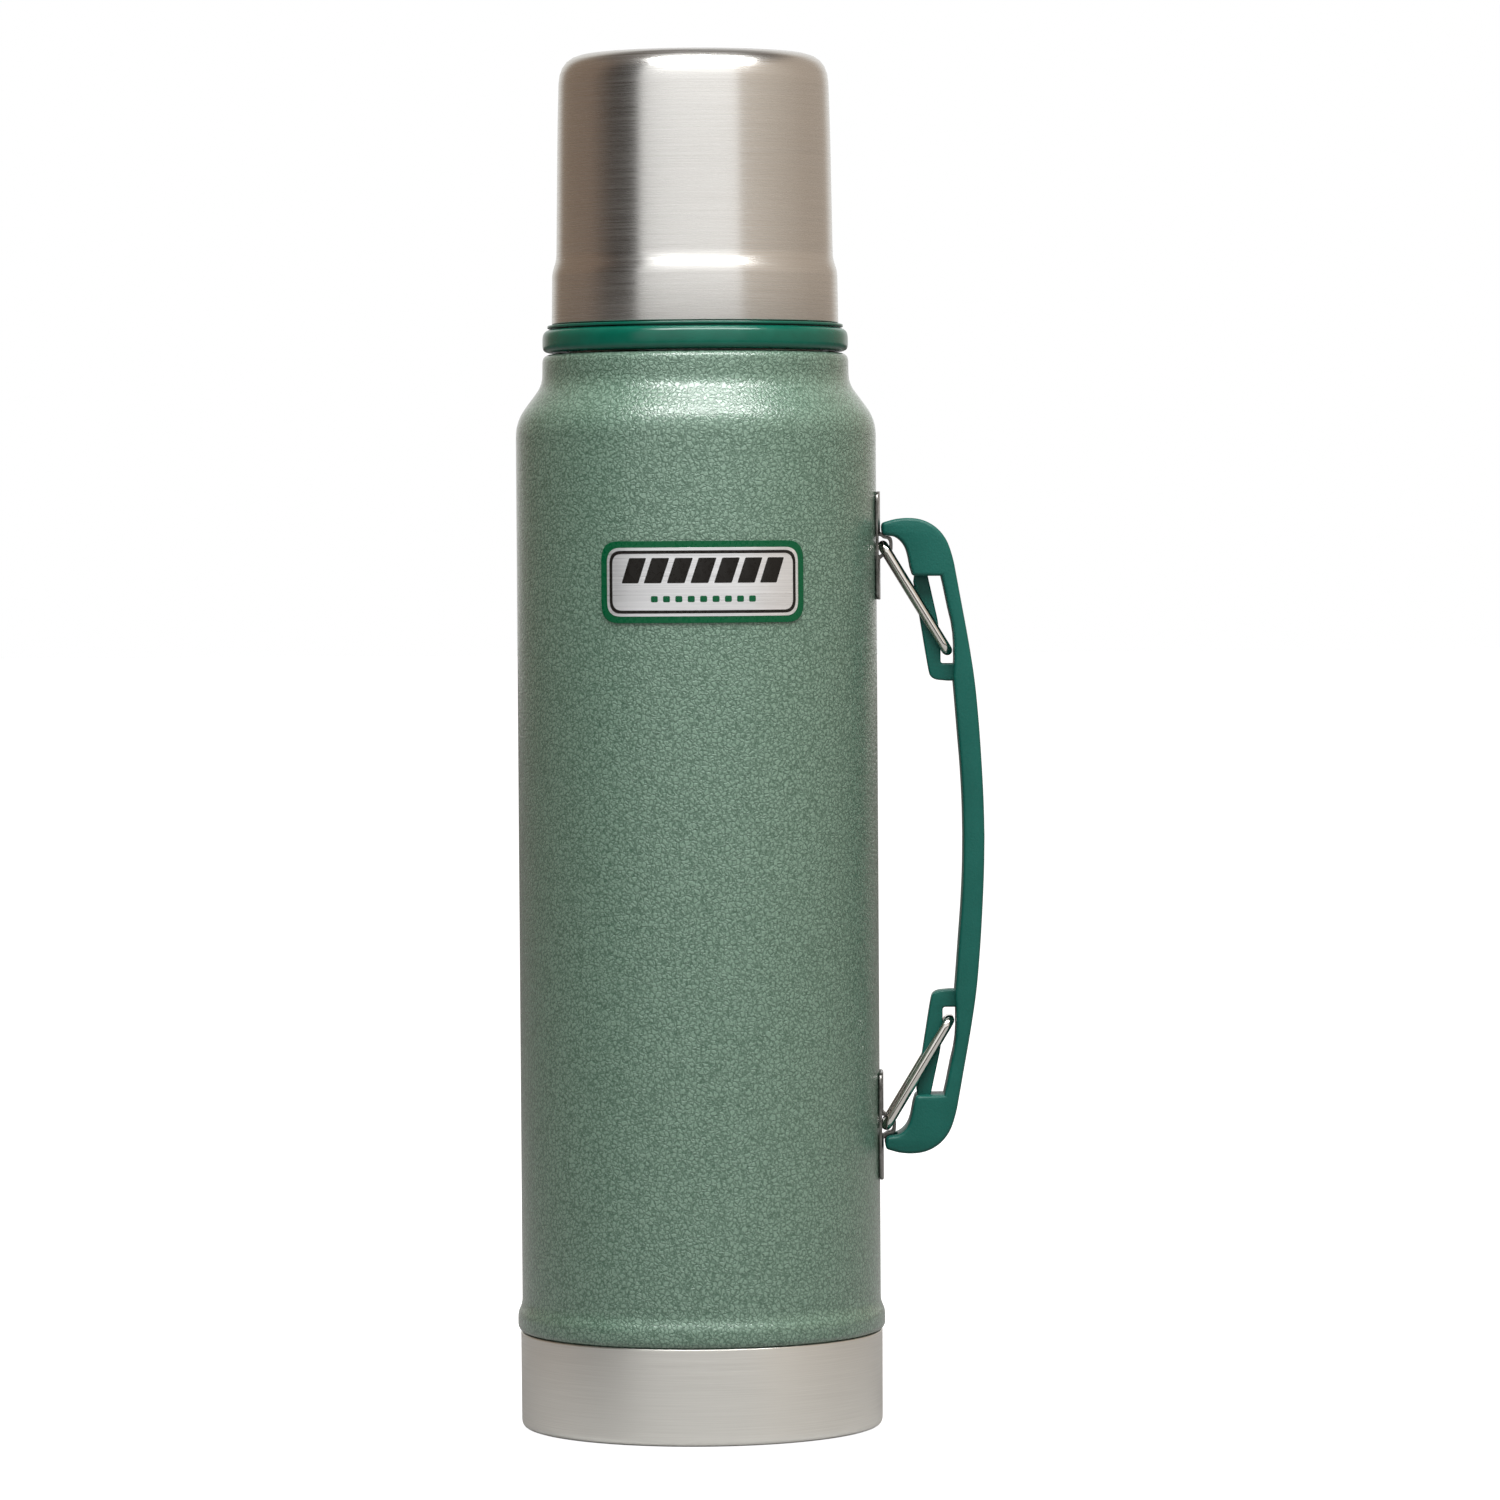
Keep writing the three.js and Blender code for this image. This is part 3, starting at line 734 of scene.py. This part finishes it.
strap_shape = flat_shape("handle strap", half_outline + mirrored, handle_width, edge_round=0.9)
bmesh.ops.transform(strap_shape, matrix=upright, verts=strap_shape.verts)
handle_piece = piece_from("carry_handle", strap_shape, handle_green)
arm_outside = [(57.6, 70.5), (57.2, 67), (58.9, 56.8, 3), (60.9, 44.4, 3), (61.6, 41.2, 3.2)]
arm_root = [(66, 40.8), (69.6, 40.8), (69.6, 45.4), (64.2, 45.4, 0.8)]
arm_slot_side = [(64.2, 50, 1), (63.6, 56.4, 2), (62.7, 60.4, 2), (60.95, 68.4), (60.95, 70.5)]
arm_outline = rounded([*arm_outside, *arm_root, *arm_slot_side], closed=True)
for side in (1, -1):
    flipped = [(x, side * y) for x, y in arm_outline]
    arm_shape = flat_shape("arm", flipped, arm_width, edge_round=0.5)
    bmesh.ops.transform(arm_shape, matrix=upright, verts=arm_shape.verts)
    carved(handle_piece, piece_from("arm", arm_shape, handle_green), "UNION")
    # A pocket behind the hooked end leaves room for the bracket's loop and the bail's bar.
    pocket = bmesh.new()
    place = Matrix.Translation((pocket_x * MM, 0, handle_middle + side * pocket_rise * MM))
    size = Matrix.Diagonal((*(length * MM for length in pocket_size), 1))
    bmesh.ops.create_cube(pocket, size=1, matrix=place @ size)
    carved(handle_piece, piece_from("pocket", pocket, handle_green), "DIFFERENCE")
handle_piece.data.shade_smooth()
handle_piece.data.set_sharp_from_angle(angle=math.radians(32))
fit(handle_piece, "handle", "handle")

# ---- the two bails ----
# Each bail is one length of bright steel wire, bent into a long closed loop. Its inner bar,
# where the two ends meet, turns in a bracket, and its outer bar slides in the handle.

wire_r = 1.35
knuckle_x = 49.15
bail_length = 32.4
bail_half_width = 5.2
bend_r = 2.2
rest_swing = math.radians(31.2)
end_gap = 0.2


def drawn_wire():
    made = material("drawn wire", (0.66, 0.64, 0.6), 0.1, metallic=1.0)
    marks = noise(made, 1500.0, 4.0)
    join(made, spread(made, marks, 0.04, 0.1), "Roughness")
    raise_by(made, marks, 0.00001, 0.4)
    return made


def run_on(shape, ring, step):
    """Draws the wire out straight from its last ring of edges."""
    grown = bmesh.ops.extrude_edge_only(shape, edges=ring)["geom"]
    verts = {part for part in grown if isinstance(part, bmesh.types.BMVert)}
    bmesh.ops.translate(shape, verts=list(verts), vec=step)
    edges = [part for part in grown if isinstance(part, bmesh.types.BMEdge)]
    return [edge for edge in edges if set(edge.verts) <= verts]


def bend_on(shape, ring, centre):
    """Bends the wire through a right angle about a centre in Y and Z."""
    verts = list(dict.fromkeys(vert for edge in ring for vert in edge.verts))
    bent = bmesh.ops.spin(
        shape,
        geom=verts + ring,
        cent=(0, *centre),
        axis=(-1, 0, 0),
        angle=math.pi / 2,
        steps=8,
        use_merge=False,
        use_duplicate=False,
    )
    return [part for part in bent["geom_last"] if isinstance(part, bmesh.types.BMEdge)]


wire_steel = drawn_wire()
half = bail_half_width * MM
bend = bend_r * MM
far = -bail_length * MM
gap = end_gap * MM
for side in ("upper", "lower"):
    low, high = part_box(side + "_bail")
    wire = bmesh.new()
    along_y = Matrix.Translation((0, gap, 0)) @ Matrix.Rotation(math.pi / 2, 4, "X")
    circle = bmesh.ops.create_circle(wire, segments=24, radius=wire_r * MM, matrix=along_y)["verts"]
    first = list(dict.fromkeys(edge for vert in circle for edge in vert.link_edges))
    # Half of the inner bar, a corner, a side, a corner, the outer bar, and back the same way.
    ring = run_on(wire, first, (0, half - bend - gap, 0))
    ring = bend_on(wire, ring, (half - bend, -bend))
    ring = run_on(wire, ring, (0, 0, far + 2 * bend))
    ring = bend_on(wire, ring, (half - bend, far + bend))
    ring = run_on(wire, ring, (0, 2 * (bend - half), 0))
    ring = bend_on(wire, ring, (bend - half, far + bend))
    ring = run_on(wire, ring, (0, 0, -far - 2 * bend))
    ring = bend_on(wire, ring, (bend - half, -bend))
    ring = run_on(wire, ring, (0, half - bend - gap, 0))
    bmesh.ops.holes_fill(wire, edges=first + ring, sides=0)
    upward = side == "lower"
    turn = Matrix.Rotation(math.pi + rest_swing if upward else -rest_swing, 4, "Y")
    axis_z = low.z + wire_r * MM if upward else high.z - wire_r * MM
    place = Matrix.Translation((knuckle_x * MM, 0, axis_z)) @ turn
    bmesh.ops.transform(wire, matrix=place, verts=wire.verts)
    fit(piece_from(side + "_wire", wire, wire_steel), side + "_bail", side + "_bail")

# ---- the stopper ----
# The stopper is a hollow plastic plug with a rounded thread, packed with foam and closed by
# a ribbed knob. A flat gasket seals its flange, and a soft ring seals its plug in the throat.

plug_low, plug_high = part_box("stopper_body")
plug_height = (plug_high.z - plug_low.z) / MM
flange = plug_height - 3.2
stopper_dark = satin_plastic("satin dark plastic", (0.012, 0.03, 0.024), (0.018, 0.042, 0.034))
plug = spun(
    [
        (0, 0),
        (27, 0, 1.6),
        (27, 8.6, 0.2),
        (25.2, 8.6),
        (25.2, 12.2),
        (27, 12.2, 0.2),
        (27, flange, 0.4),
        (31.8, flange, 0.6),
        (31.8, plug_height, 0.5),
        (23.6, plug_height, 0.3),
        (23.6, 2.2),
        (0, 2.2),
    ],
    foot=plug_low.z,
)
add_thread(plug, 28.1, 1, thread_start)
fit(piece_from("stopper_plug", plug, stopper_dark), "stopper", "stopper_body")

knob_low, knob_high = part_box("stopper_knob")
knob_height = (knob_high.z - knob_low.z) / MM
knob = spun(
    [
        (0, 0),
        (31.2, 0, 0.4),
        (31.6, 0.9, 0.4),
        (30.2, 2.6, 0.8),
        (25.4, 4.0, 1.2),
        (24.0, 7.0, 2),
        (23.2, knob_height, 2.4),
        (18.5, knob_height, 0.6),
        (17.6, knob_height - 0.8, 0.6),
        (0, knob_height - 0.8),
    ],
    foot=knob_low.z,
    sides=192,
)
finger_hollows = 8
hollow_depth = 1.9
hollow_foot = 4.2
hollow_fade = 3
knob_rim = 20
for vert in knob.verts:
    reach = math.hypot(vert.co.x, vert.co.y) / MM
    rise = (vert.co.z - knob_low.z) / MM - hollow_foot
    wave = max(0.0, -math.cos(finger_hollows * math.atan2(vert.co.y, vert.co.x)))
    if reach > knob_rim and rise > 0:
        vert.co.xy *= 1 - hollow_depth * wave * min(1, rise / hollow_fade) / reach
fit(piece_from("stopper_grip", knob, stopper_dark), "stopper", "stopper_knob")


def silicone():
    pale = (0.66, 0.62, 0.53)
    made = material("pale silicone", pale, 0.55, Subsurface_Weight=0.15, Subsurface_Scale=0.002)
    dust = noise(made, 1200.0, 3.0)
    join(made, spread(made, dust, 0.45, 0.65), "Roughness")
    raise_by(made, dust, 0.00002, 0.4)
    return made


seal_rubber = silicone()
gasket_low, gasket_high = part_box("flange_gasket")
gasket_height = (gasket_high.z - gasket_low.z) / MM
gasket = spun(
    [
        (29.2, 0, 0.3),
        (31.2, 0, 0.3),
        (31.2, gasket_height, 0.3),
        (29.2, gasket_height, 0.3),
    ],
    foot=gasket_low.z,
)
fit(piece_from("flat_gasket", gasket, seal_rubber), "stopper_seal", "flange_gasket")
seal_low, seal_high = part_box("plug_seal")
seal_height = (seal_high.z - seal_low.z) / MM
lip_seal = spun(
    [
        (25.5, 0),
        (27.5, 0, 0.4),
        (28.35, seal_height / 2, 0.9),
        (27.5, seal_height, 0.4),
        (25.5, seal_height),
    ],
    foot=seal_low.z,
)
fit(piece_from("throat_seal", lip_seal, seal_rubber), "stopper", "plug_seal")


def cast_foam():
    made = material("cast foam", (0.8, 0.74, 0.58), 0.95)
    pores = add(made, "TexVoronoi", Vector=stretched(made), Scale=1400.0).outputs["Distance"]
    join(made, tint(made, pores, (0.62, 0.56, 0.42), (0.84, 0.79, 0.65)), "Base Color")
    raise_by(made, pores, 0.0001, 0.5)
    return made


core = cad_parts["stopper_core"]
core.data.materials.clear()
core.data.materials.append(cast_foam())

# ---- the cup ----
# The drinking cup is spun steel over a plastic lining with a thread near its mouth. The
# lining's thin lip shows under the steel, and a rounded ring is snapped on below the lip.

cup_steel = brushed_steel("brushed cup steel", (0.71, 0.70, 0.68), (0.65, 0.64, 0.615), 0.27)
cup_low, cup_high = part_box("cup_shell")
cup_height = (cup_high.z - cup_low.z) / MM
steel_cup = spun(
    [
        (37.2, 0),
        (37.8, 0, 0.2),
        (37.6, 13.4, 1.2),
        (36.45, 17.2, 1.2),
        (35.9, 53.3, 10),
        (35.3, cup_height, 7.6),
        (0, cup_height),
        (0, cup_height - 0.6),
        (34.7, cup_height - 0.6, 7.2),
        (35.3, 53.2, 10),
        (35.9, 17.0, 2.2),
        (37.0, 13.2, 2.2),
    ],
    foot=cup_low.z,
    sides=192,
)
fit(piece_from("steel_cup", steel_cup, cup_steel), "cup", "cup_shell")


def glossy_plastic():
    made = material("glossy green plastic", (0.001, 0.1, 0.062), 0.3, Specular_IOR_Level=0.4)
    swirl = noise(made, 240.0, 3.0)
    shade = tint(made, spread(made, swirl, 0.0, 1.0), (0.0005, 0.066, 0.042), (0.001, 0.08, 0.052))
    join(made, spread(made, swirl, 0.18, 0.26), "Roughness")
    join(made, shade, "Base Color")
    raise_by(made, swirl, 0.00002, 0.3)
    return made


rim_plastic = glossy_plastic()
lining_low, lining_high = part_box("cup_liner")
lining_height = (lining_high.z - lining_low.z) / MM
lining = spun(
    [
        (34.2, 0, 0.5),
        (36.6, 0),
        (36.6, 6.0),
        (39.0, 6.0, 0.35),
        (39.0, 6.8, 0.35),
        (36.8, 6.8),
        (36.7, 20, 2),
        (35.6, 24, 2),
        (34.6, lining_height - 7, 4),
        (33.4, lining_height, 6),
        (0, lining_height),
        (0, lining_height - 1.6),
        (32, lining_height - 1.6, 6),
        (33, lining_height - 9, 4),
        (34.0, 22, 3),
        (34.2, 18, 2),
    ],
    foot=lining_low.z,
)
cup_thread_start = 287.7
add_thread(lining, 33.1, -1, cup_thread_start)
fit(piece_from("cup_lining", lining, rim_plastic), "cup", "cup_liner")

ring_low, ring_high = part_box("cup_ring")
ring_height = (ring_high.z - ring_low.z) / MM
rim_ring = spun(
    [
        (36.9, 0),
        (38.9, 0, 0.8),
        (40.3, 0.7, 1.4),
        (40.3, 5.0, 1.8),
        (38.9, ring_height, 0.7),
        (36.9, ring_height),
    ],
    foot=ring_low.z,
    sides=192,
)
fit(piece_from("rim_ring", rim_ring, rim_plastic), "cup_rim", "cup_ring")

# ---- the room ----
# A plain floor that shows white, with no edge in sight, a wide soft wall of light behind the
# camera, a softbox overhead, warm grey screens all round it at chosen bearings, and the
# camera in front.

floor_drop = 0.2 * MM
floor_place = Matrix.Translation((0, 0, cad_low.z - floor_drop))
floor = bmesh.new()
bmesh.ops.create_grid(floor, x_segments=1, y_segments=1, size=12, matrix=floor_place)
white_floor = material("white floor", (0.33, 0.33, 0.33), 0.9, Emission_Color=(1, 1, 1, 1))
seen_directly = add(white_floor, "LightPath").outputs["Is Camera Ray"]
join(white_floor, seen_directly, "Emission Strength")
piece_from("floor", floor, white_floor)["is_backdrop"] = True


def soft_light(name, place, aim, size, watts):
    """A rectangle of soft light at a place, turned to aim at a point. Metres."""
    data = bpy.data.lights.new(name, "AREA")
    data.shape = "RECTANGLE"
    data.size, data.size_y = size
    data.energy = watts
    light = bpy.data.objects.new(name, data)
    light.location = place
    light.rotation_euler = (Vector(aim) - Vector(place)).to_track_quat("-Z", "Y").to_euler()
    light.visible_camera = False
    bpy.context.scene.collection.objects.link(light)


soft_light("wall of light", (-0.155, -1.3, 1.13), (-0.155, 0, 1.13), (2.38, 1.7), 13)
soft_light("softbox", (0.14, -0.62, 1.42), (0.05, 0, 0.3), (1.5, 0.55), 41)

room = bpy.data.worlds.new("pale room")
room.use_nodes = True
bpy.context.scene.world = room
tree = room.node_tree


def room_node(kind, settings=None):
    """Adds a node to the room's surroundings."""
    node = tree.nodes.new("ShaderNode" + kind)
    for key, value in (settings or {}).items():
        setattr(node, key, value)
    return node


def room_mix(factor, first, second):
    """Turns from the first colour, a socket, to the second, three numbers, as factor rises."""
    mix = room_node("Mix", {"data_type": "RGBA"})
    tree.links.new(factor, mix.inputs[0])
    tree.links.new(first, mix.inputs[6])
    mix.inputs[7].default_value = (*second, 1)
    return mix.outputs[2]


# The bearing of each screen in degrees, and its colour. The first and last are the same place.
screens = [
    (-180, (1.0, 1.0, 1.0)),
    (-158, (0.8, 0.78, 0.74)),
    (-144, (0.29, 0.22, 0.165)),
    (-96, (0.25, 0.18, 0.135)),
    (-72, (0.05, 0.04, 0.034)),
    (-46, (0.03, 0.027, 0.024)),
    (-20, (0.12, 0.11, 0.1)),
    (34, (0.2, 0.18, 0.16)),
    (44, (0.76, 0.67, 0.58)),
    (67, (0.7, 0.61, 0.52)),
    (106, (0.55, 0.46, 0.38)),
    (144, (0.5, 0.42, 0.35)),
    (158, (0.85, 0.82, 0.78)),
    (180, (1.0, 1.0, 1.0)),
]
direction = room_node("TexCoord").outputs["Generated"]
turned = room_node("Mapping")
turned.inputs["Rotation"].default_value = (0, 0, math.radians(90))
tree.links.new(direction, turned.inputs["Vector"])
bearing = room_node("TexGradient", {"gradient_type": "RADIAL"})
tree.links.new(turned.outputs["Vector"], bearing.inputs["Vector"])
ramp = room_node("ValToRGB")
tree.links.new(bearing.outputs["Fac"], ramp.inputs[0])
stops = ramp.color_ramp.elements
stops.remove(stops[1])
stops[0].position = 0
stops[0].color = (*screens[0][1], 1)
for degrees, colour in screens[1:]:
    stops.new(degrees / 360 + 0.5).color = (*colour, 1)
split = room_node("SeparateXYZ")
tree.links.new(direction, split.inputs[0])
upward = room_node("MapRange")
upward.inputs["From Min"].default_value = 0.6
upward.inputs["From Max"].default_value = 0.8
tree.links.new(split.outputs["Z"], upward.inputs["Value"])
lit = room_mix(upward.outputs["Result"], ramp.outputs["Color"], (0.13, 0.11, 0.095))
backdrop = room_mix(room_node("LightPath").outputs["Is Camera Ray"], lit, (1, 1, 1))
tree.links.new(backdrop, tree.nodes["Background"].inputs["Color"])

camera_place = (0.01375, -1.81, 0.2346)
tilt_down = 1.77
lean = -0.38
camera_data = bpy.data.cameras.new("camera")
camera_data.sensor_width = 36
camera_data.lens = 164.4
camera = bpy.data.objects.new("camera", camera_data)
pitch = Matrix.Rotation(math.radians(90 - tilt_down), 4, "X")
roll = Matrix.Rotation(math.radians(lean), 4, "Z")
camera.matrix_world = Matrix.Translation(camera_place) @ pitch @ roll
bpy.context.scene.collection.objects.link(camera)
bpy.context.scene.camera = camera
bpy.context.scene.view_settings.view_transform = "Standard"

low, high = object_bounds()
